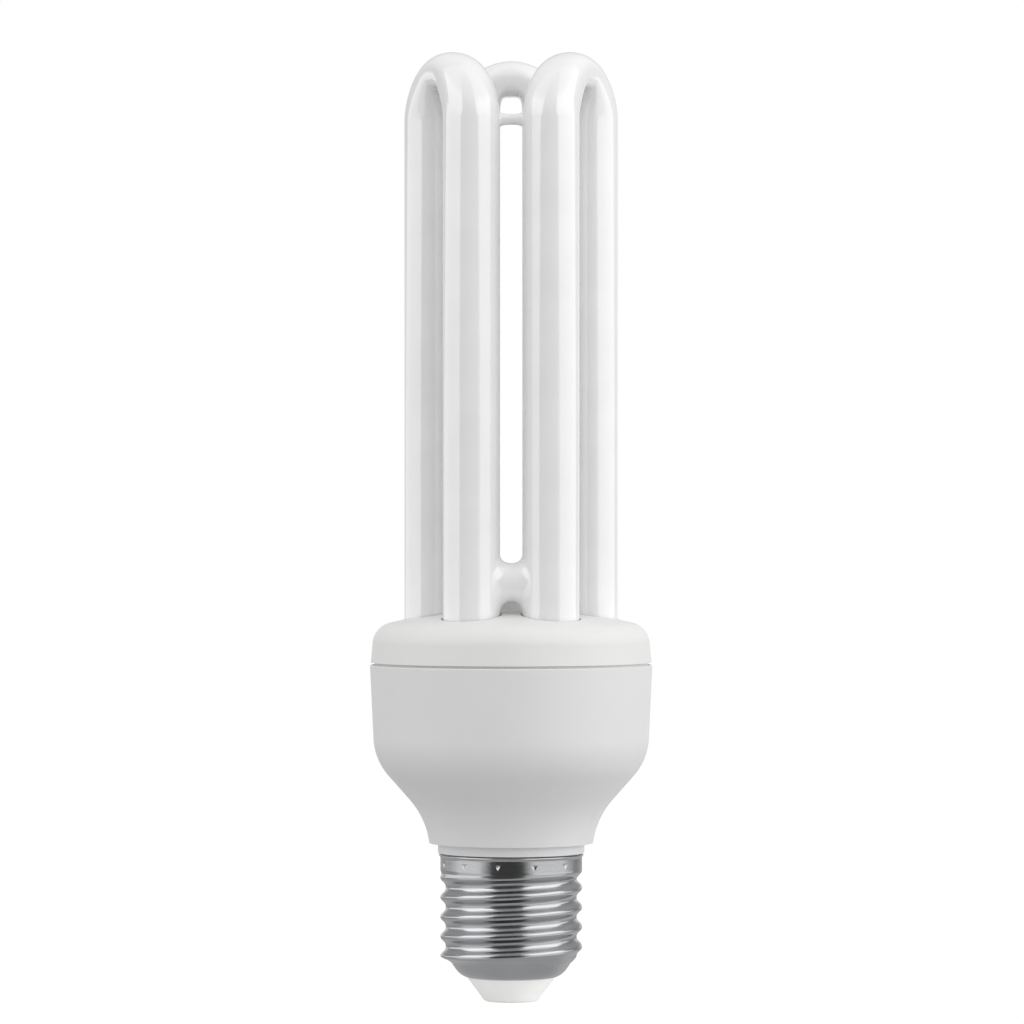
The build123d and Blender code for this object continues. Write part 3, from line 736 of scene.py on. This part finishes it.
class LAMP_OT_glass(Operator):
    """Build the fused glass tube with its bends, bridges, strut and pinched ends"""

    bl_idname = "lamp.glass"
    bl_label = "Glass tube"

    def execute(self, context):
        size = context.scene.lamp_glass
        pitch = 2 * size.tube_radius + size.leg_gap
        outward = np.array([0, pitch * np.cos(np.pi / 6), 0])
        on_corner = np.array([pitch, 0, 0])
        tube_turns, bridge_turns = (0, 120, 240), (180, -60)
        strut_turn, end_turns = 180, (120, 180)
        bridge = glass_neck(
            size,
            size.bridge_height,
            size.bridge_tall,
            size.bridge_deep,
            size.bridge_spread,
            size.bridge_droop,
        )
        strut = glass_neck(
            size, size.strut_height, size.strut_radius, size.strut_radius, size.strut_spread
        )
        tube = u_tube(size)
        grids = [about_axis(tube + outward, turn) for turn in tube_turns]
        grids += [about_axis(bridge + outward, turn) for turn in bridge_turns]
        grids += [about_axis(strut + outward, strut_turn)]
        grids += [about_axis(pinched_end(size) + on_corner, turn) for turn in end_turns]
        material = coated_glass(context.scene.lamp_colours)
        make_piece("glass_tube", grids, "discharge_tube", material)
        return {"FINISHED"}


class LAMP_OT_cap(Operator):
    """Build the screw shell, its insulator and its soldered contact"""

    bl_idname = "lamp.cap"
    bl_label = "Screw cap"

    def execute(self, context):
        size = context.scene.lamp_cap
        colours = context.scene.lamp_colours
        nickel = plated_nickel(colours.nickel)
        make_piece("rolled_shell", [screw_shell(size)], "screw_shell", nickel, round_rows=True)
        cone = turned(insulator_outline(size), AROUND_CONE)
        white = moulded_pbt("moulded_insulation", colours.insulator, roughness=0.5)
        make_piece("insulator_cone", [cone], "cap_insulator", white, round_rows=True)
        contact = turned(contact_outline(size), AROUND_CONTACT)
        tin = inner_finish("tin_solder", "#B4B3B0", grain_mm=1.2, roughness=0.3, metallic=1.0)
        make_piece("soldered_contact", [contact], "centre_contact", tin)
        return {"FINISHED"}


class LAMP_OT_housing(Operator):
    """Finish the moulded bowl and cover"""

    bl_idname = "lamp.housing"
    bl_label = "Housing"

    def execute(self, context):
        colours = context.scene.lamp_colours
        bowl = frame["nodes"]["lower_housing"]
        cover = frame["nodes"]["upper_cover"]
        bowl_finish = moulded_pbt("moulded_bowl", colours.bowl, roughness=0.58)
        cover_finish = moulded_pbt("moulded_cover", colours.cover, roughness=0.54)
        bowl.material_slots[0].material = bowl_finish
        cover.material_slots[0].material = cover_finish
        return {"FINISHED"}


class LAMP_OT_ballast(Operator):
    """Finish the ballast's parts inside the housing"""

    bl_idname = "lamp.ballast"
    bl_label = "Ballast"

    def execute(self, context):
        # By slot: name, colour, grain in millimetres, roughness, and 1 for a metal
        finishes = {
            "cement": inner_finish("set_cement", "#D2CDC2", 0.8, 0.85),
            "board_laminate": inner_finish("paper_laminate", "#B08A4E", 1.5, 0.55),
            "tinned_wire": inner_finish("tinned_wire", "#C4C4C2", 0.6, 0.3, 1.0),
            "capacitor_sleeve": inner_finish("shrunk_film", "#1B2233", 2.0, 0.3),
            "ferrite": inner_finish("sintered_ferrite", "#3A3A3D", 0.4, 0.6),
            "bobbin_plastic": inner_finish("moulded_nylon", "#2A2A2A", 0.5, 0.5),
            "enamelled_copper": inner_finish("enamelled_copper", "#A85A2C", 0.3, 0.3, 1.0),
            "moulded_epoxy": inner_finish("moulded_epoxy", "#262626", 0.4, 0.55),
            "dipped_film": inner_finish("dipped_lacquer", "#8E3A26", 2.5, 0.25),
            "shrink_sleeve": inner_finish("shrunk_sleeve", "#2E2E2E", 1.5, 0.45),
            "resistor_coat": inner_finish("resistor_lacquer", "#CFB48A", 0.5, 0.4),
            "lead_insulation": inner_finish("extruded_insulation", "#DADAD6", 1.0, 0.45),
        }
        for part in frame["record"]["subparts"]:
            if part["material_slot"] in finishes:
                piece = frame["nodes"][part["node"]]
                piece.material_slots[0].material = finishes[part["material_slot"]]
        return {"FINISHED"}


def white_for_the_eye(tree, strength):
    """Share of plain white: a strength for camera, glossy and transmission rays, else 0."""
    ray = add(tree, "ShaderNodeLightPath")
    seen = add(
        tree,
        "ShaderNodeMath",
        {"operation": "MAXIMUM"},
        {0: ray.outputs["Is Camera Ray"], 1: ray.outputs["Is Glossy Ray"]},
    )
    seen = add(
        tree,
        "ShaderNodeMath",
        {"operation": "MAXIMUM"},
        {0: seen.outputs[0], 1: ray.outputs["Is Transmission Ray"]},
    )
    share = add(
        tree,
        "ShaderNodeMath",
        {"operation": "MULTIPLY", 1: strength},
        {0: seen.outputs[0]},
    )
    return share.outputs[0]


def studio_world(scene, room_light):
    """White to the eye and in reflections, and a plain grey light from all round."""
    world = bpy.data.worlds.new("studio_world")
    tree = empty_tree(world)
    share = white_for_the_eye(tree, 1.0)
    strength = add(
        tree, "ShaderNodeMapRange", {"To Min": room_light, "To Max": 1.0}, {"Value": share}
    )
    light = add(
        tree,
        "ShaderNodeBackground",
        {"Color": WHITE},
        {"Strength": strength.outputs["Result"]},
    )
    add(tree, "ShaderNodeOutputWorld", (), {"Surface": light.outputs[0]})
    scene.world = world


def pale_card(name, hex_colour):
    """Matt card that reads white to the eye, keeps a soft shadow and is clear from below."""
    white_strength, white_share = 1.1, 0.86
    material = bpy.data.materials.new(name)
    tree = empty_tree(material)
    lit = add(tree, "ShaderNodeBsdfDiffuse", {"Color": linear(hex_colour)})
    white = add(tree, "ShaderNodeEmission", {"Color": WHITE, "Strength": white_strength})
    share = white_for_the_eye(tree, white_share)
    above = add(
        tree,
        "ShaderNodeMixShader",
        (),
        {"Fac": share, 1: lit.outputs[0], 2: white.outputs[0]},
    )
    below = add(tree, "ShaderNodeBsdfTransparent")
    side = add(tree, "ShaderNodeNewGeometry")
    mix = add(
        tree,
        "ShaderNodeMixShader",
        (),
        {"Fac": side.outputs["Backfacing"], 1: above.outputs[0], 2: below.outputs[0]},
    )
    add(tree, "ShaderNodeOutputMaterial", (), {"Surface": mix.outputs[0]})
    return material


def pale_floor(scene):
    """Round pale floor with a white card in its middle; it reads white and keeps a soft shadow."""
    floor_radius, card_radius = 2.5, 0.028
    outline = np.array([(floor_radius, 0), (card_radius, 0), (0, 0)])
    points = turned(outline, AROUND_FLOOR).reshape(-1, 3)
    faces = grid_faces(len(outline), AROUND_FLOOR)
    mesh = bpy.data.meshes.new("floor")
    mesh.from_pydata(points.tolist(), [], faces.tolist())
    mesh.materials.append(pale_card("pale_floor", "#B8B8B8"))
    mesh.materials.append(pale_card("white_card", "#FAFAFA"))
    mesh.polygons.foreach_set("material_index", np.repeat([0, 1], AROUND_FLOOR))
    floor = bpy.data.objects.new("floor", mesh)
    floor.visible_glossy = False
    scene.collection.objects.link(floor)


def between(bearing, start, end):
    """1 from one bearing to another and 0 outside, in degrees, with a sloping edge at each."""
    edge = 6
    after = np.clip((bearing - start) / edge + 0.5, 0, 1)
    before = np.clip((end - bearing) / edge + 0.5, 0, 1)
    return after * before


def studio_light(bearing, rise):
    """Light that reflections find, by the bearing from the camera's side and the rise, in degrees.

    A bright panel stands to the left and one to the right, widest a little above the horizon and
    faint below it. It is dark between them, behind the camera, and grey elsewhere, paler high up
    and low down, at both sides under the panels and straight behind the lamp.
    """
    narrow = np.interp(rise, (-3, -1.5, 5, 16), (1, 0, 0, 1))

    def narrowed(wide, slim):
        return wide + (slim - wide) * narrow

    left = between(bearing, narrowed(-139, -99), narrowed(-49, -35))
    right = between(bearing, narrowed(35, 21), narrowed(119, 99))
    window = np.interp(rise, (-40, -25, -4.6, -1, 34, 46, 74), (0, 0.25, 0.25, 1, 1, 0.4, 0.1))
    panels = narrowed(1.06, 1.75) * (left + right) * window
    middle = between(bearing, narrowed(-47, -37), 27)
    shade = np.interp(rise, (-40, -20, 18, 40), (0.62, 0.08, 0.08, 0.5))
    room = np.interp(rise, (-40, -8, 10, 40), (0.62, 0.46, 0.42, 0.6))
    sideways = np.sin(np.radians(bearing))
    beside = np.where(sideways > 0, 0.32, 0.12) * np.abs(sideways)
    slanting = np.interp(rise, (-40, -26, -15, -6, 30, 60), (0, 1, 1, 0, 0, 0.5))
    behind = np.interp(np.abs(bearing), (138, 152), (0, 0.45)) * (1 - narrow)
    return panels + middle * shade + (1 - middle) * room + beside * slanting + behind


def studio_glow(scene):
    """Inside of a sphere that only reflections see, each point glowing with the studio's light."""
    reach = 1.8
    top_rise = 89.5
    bearing = np.linspace(-180, 180, AROUND_GLOW, endpoint=False)
    rise = np.linspace(-top_rise, top_rise, GLOW_ROWS)[:, None]
    level = reach * np.cos(np.radians(rise))
    x = level * np.sin(np.radians(bearing))
    y = -level * np.cos(np.radians(bearing))
    z = reach * np.sin(np.radians(rise)) + 0 * bearing
    points = np.stack([x, y, z], axis=-1).reshape(-1, 3)
    faces = grid_faces(len(rise), len(bearing))
    mesh = bpy.data.meshes.new("studio_glow")
    mesh.from_pydata(points.tolist(), [], faces.tolist())
    glow = mesh.attributes.new("glow", "FLOAT", "POINT")
    glow.data.foreach_set("value", studio_light(bearing, rise).ravel())
    material = bpy.data.materials.new("studio_glow")
    material.cycles.emission_sampling = "NONE"
    tree = empty_tree(material)
    strength = add(tree, "ShaderNodeAttribute", {"attribute_name": "glow"})
    light = add(
        tree, "ShaderNodeEmission", {"Color": WHITE}, {"Strength": strength.outputs["Fac"]}
    )
    add(tree, "ShaderNodeOutputMaterial", (), {"Surface": light.outputs[0]})
    mesh.materials.append(material)
    studio = bpy.data.objects.new("studio_glow", mesh)
    studio.visible_camera = False
    studio.visible_diffuse = False
    studio.visible_transmission = False
    studio.visible_shadow = False
    scene.collection.objects.link(studio)


def softbox(scene, name, brightness, bearing, rise, size):
    """Rectangular light at a bearing from the camera's side and a rise, facing the lamp."""
    distance = 0.8
    data = bpy.data.lights.new(name, "AREA")
    data.shape = "RECTANGLE"
    data.size, data.size_y = size
    data.energy = brightness * np.pi * size[0] * size[1]
    lamp = bpy.data.objects.new(name, data)
    level = distance * np.cos(radians(rise))
    lamp.location = (
        level * np.sin(radians(bearing)),
        -level * np.cos(radians(bearing)),
        GLASS_TOP / 2 + distance * np.sin(radians(rise)),
    )
    lamp.rotation_euler = (radians(90 - rise), 0, radians(bearing))
    lamp.visible_glossy = False
    scene.collection.objects.link(lamp)


def level_camera(scene, settings):
    """Level camera in front of the lamp, with a lens that takes in a given width at its axis."""
    data = bpy.data.cameras.new("studio_camera")
    data.sensor_fit = "HORIZONTAL"
    data.lens = data.sensor_width * settings.camera_distance / settings.view_width
    camera = bpy.data.objects.new("studio_camera", data)
    camera.location = (settings.camera_side, -settings.camera_distance, settings.camera_height)
    camera.rotation_euler = (radians(90), 0, 0)
    scene.collection.objects.link(camera)
    scene.camera = camera


class LAMP_OT_stage(Operator):
    """Set up the pale floor, the softboxes, the dim front of the room and the camera"""

    bl_idname = "lamp.stage"
    bl_label = "Studio"

    def execute(self, context):
        scene = context.scene
        settings = scene.lamp_stage
        scene.view_settings.view_transform = "Standard"
        studio_world(scene, settings.room_light)
        pale_floor(scene)
        studio_glow(scene)
        side_size, top_size = (0.95, 0.42), (0.9, 0.9)
        softbox(scene, "right_softbox", settings.right_light, bearing=78, rise=6, size=side_size)
        softbox(scene, "left_softbox", settings.left_light, bearing=-78, rise=6, size=side_size)
        softbox(scene, "top_softbox", settings.top_light, bearing=0, rise=64, size=top_size)
        level_camera(scene, settings)
        return {"FINISHED"}


class LAMP_PT_panel(Panel):
    """Sizes, colours and steps of the lamp"""

    bl_idname = "LAMP_PT_panel"
    bl_label = "Fluorescent lamp"
    bl_space_type = "VIEW_3D"
    bl_region_type = "UI"
    bl_category = "Lamp"

    def draw(self, context):
        for group, operators in STEPS:
            box = self.layout.box()
            for operator in operators:
                box.operator(operator.bl_idname)
            settings = getattr(context.scene, group)
            for key in settings.__annotations__:
                box.prop(settings, key)


GROUPS = {
    "lamp_glass": LampGlassSizes,
    "lamp_cap": LampCapSizes,
    "lamp_colours": LampColours,
    "lamp_stage": LampStageSettings,
}
STEPS = (
    ("lamp_glass", (LAMP_OT_glass,)),
    ("lamp_cap", (LAMP_OT_cap,)),
    ("lamp_colours", (LAMP_OT_housing, LAMP_OT_ballast)),
    ("lamp_stage", (LAMP_OT_stage,)),
)
CLASSES = (
    *GROUPS.values(),
    LAMP_OT_glass,
    LAMP_OT_cap,
    LAMP_OT_housing,
    LAMP_OT_ballast,
    LAMP_OT_stage,
    LAMP_PT_panel,
)


def register():
    for cls in CLASSES:
        bpy.utils.register_class(cls)
    for name, group in GROUPS.items():
        setattr(bpy.types.Scene, name, PointerProperty(type=group))


def unregister():
    for name in GROUPS:
        delattr(bpy.types.Scene, name)
    for cls in reversed(CLASSES):
        bpy.utils.unregister_class(cls)


def main():
    """Register the add-on and run its steps in order."""
    register()
    bpy.ops.lamp.glass()
    bpy.ops.lamp.cap()
    bpy.ops.lamp.housing()
    bpy.ops.lamp.ballast()
    bpy.ops.lamp.stage()


if __name__ == "__main__":
    main()
